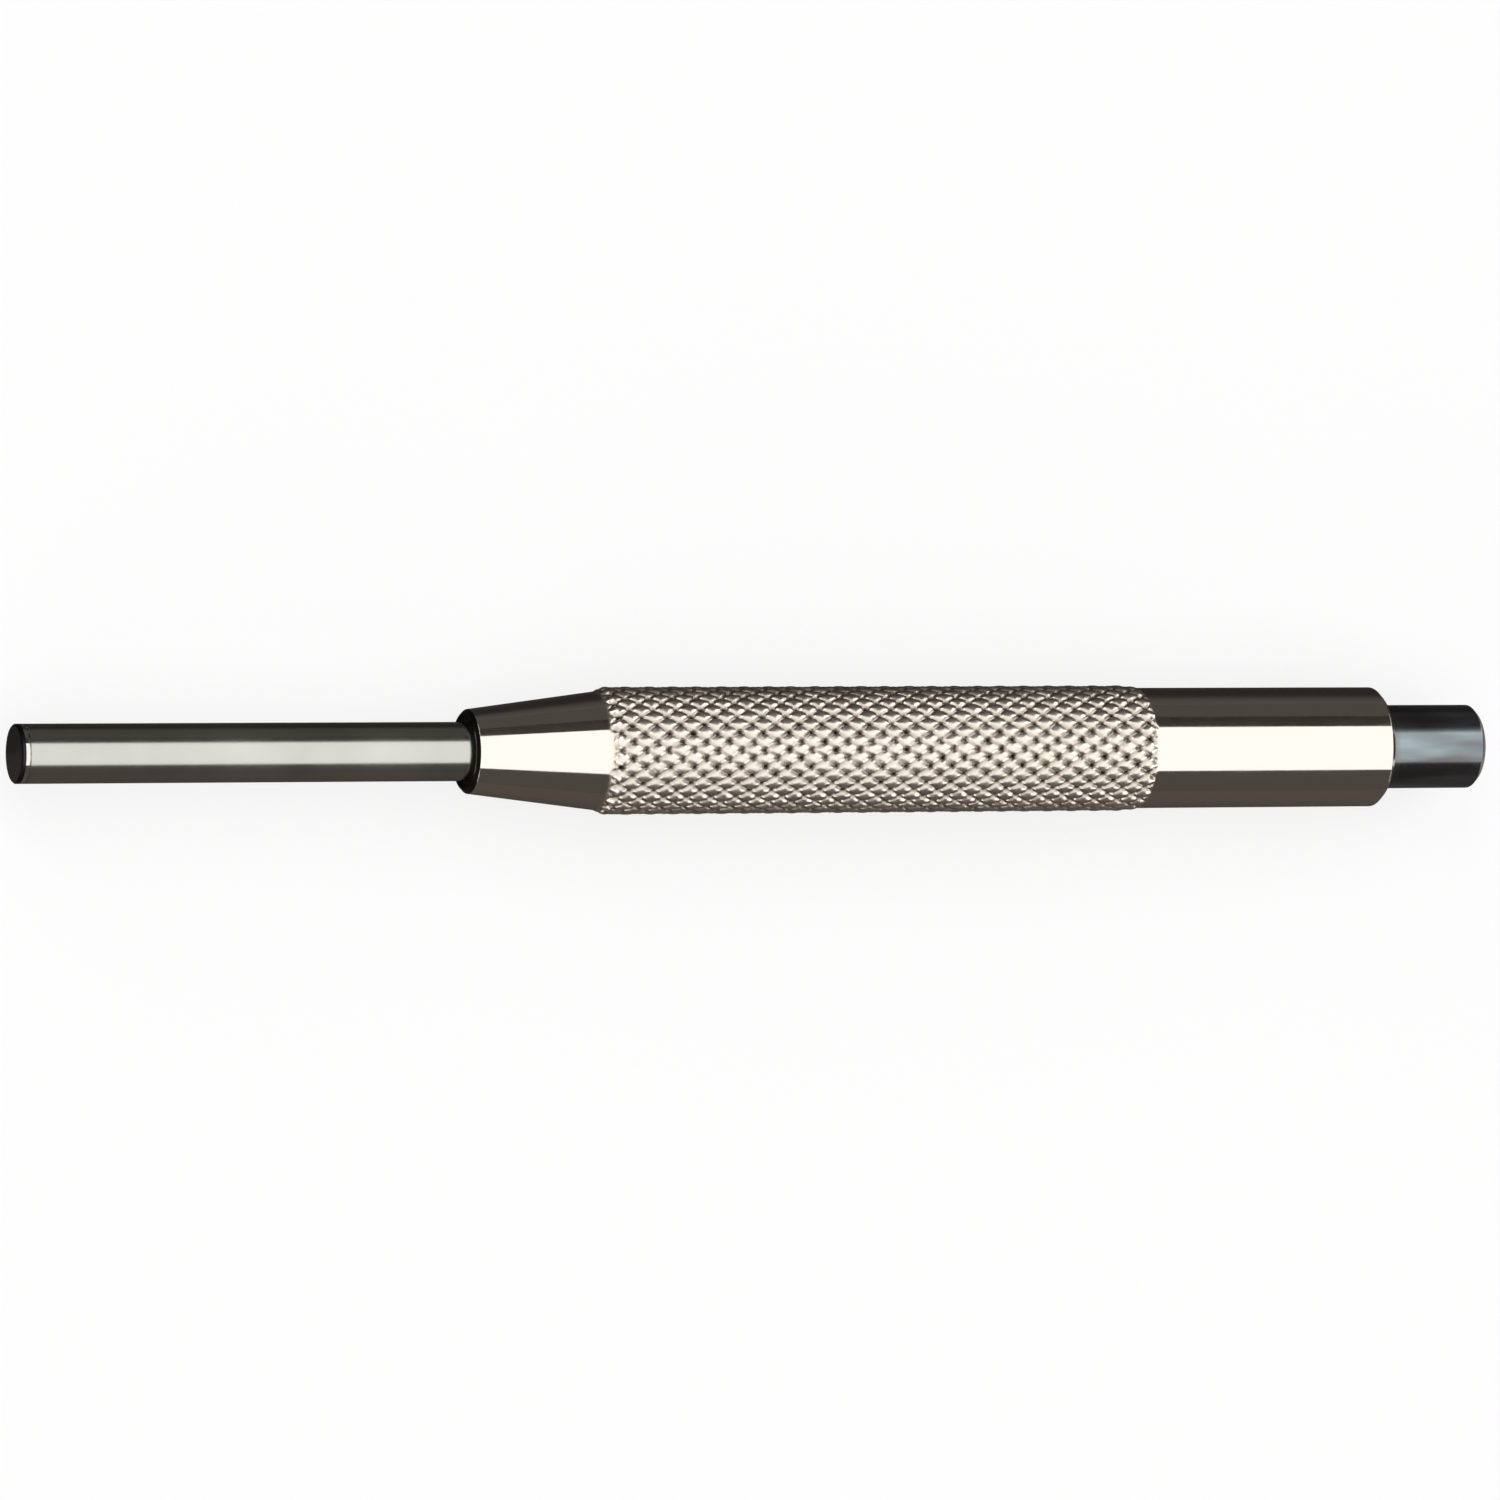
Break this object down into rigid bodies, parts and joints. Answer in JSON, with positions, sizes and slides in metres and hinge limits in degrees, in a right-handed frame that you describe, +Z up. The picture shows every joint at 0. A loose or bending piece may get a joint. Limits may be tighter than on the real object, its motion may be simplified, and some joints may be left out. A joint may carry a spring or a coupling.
{
  "type": "pin punch",
  "caption": "Slim steel pin punch: a ground pin on a dark striking shank runs through a knurled sliding sleeve with a cone nose, which steadies the pin while it drives out pins.",
  "frame": {"origin": "on the ground under the middle of the punch's length, with the punch lying on its knurl", "axes": "+X along the punch's axis from the tip to the striking head, +Z up, +Y across"},
  "size_m": [0.104, 0.0086, 0.0085],
  "materials": {
    "nickel_plate": "polished nickel plate on turned steel",
    "black_oxide": "black oxide on turned steel",
    "ground_steel": "hardened, ground bright",
    "spring_steel": "drawn spring wire"
  },
  "bodies": {
    "sleeve": {"guide_sleeve": "nickel_plate"},
    "ring": {"friction_ring": "spring_steel"},
    "punch": {"striking_shank": "black_oxide", "punch_pin": "ground_steel"}
  },
  "joints": [
    {"name": "sleeve_slide", "type": "slide", "parent": "sleeve", "child": "ring", "axis": [1, 0, 0], "range_m": [0, 0.0308]},
    {"name": "punch_turn", "type": "hinge", "parent": "ring", "child": "punch", "pos_m": [0.01135, 0, 0.00425], "axis": [1, 0, 0], "continuous": true}
  ]
}
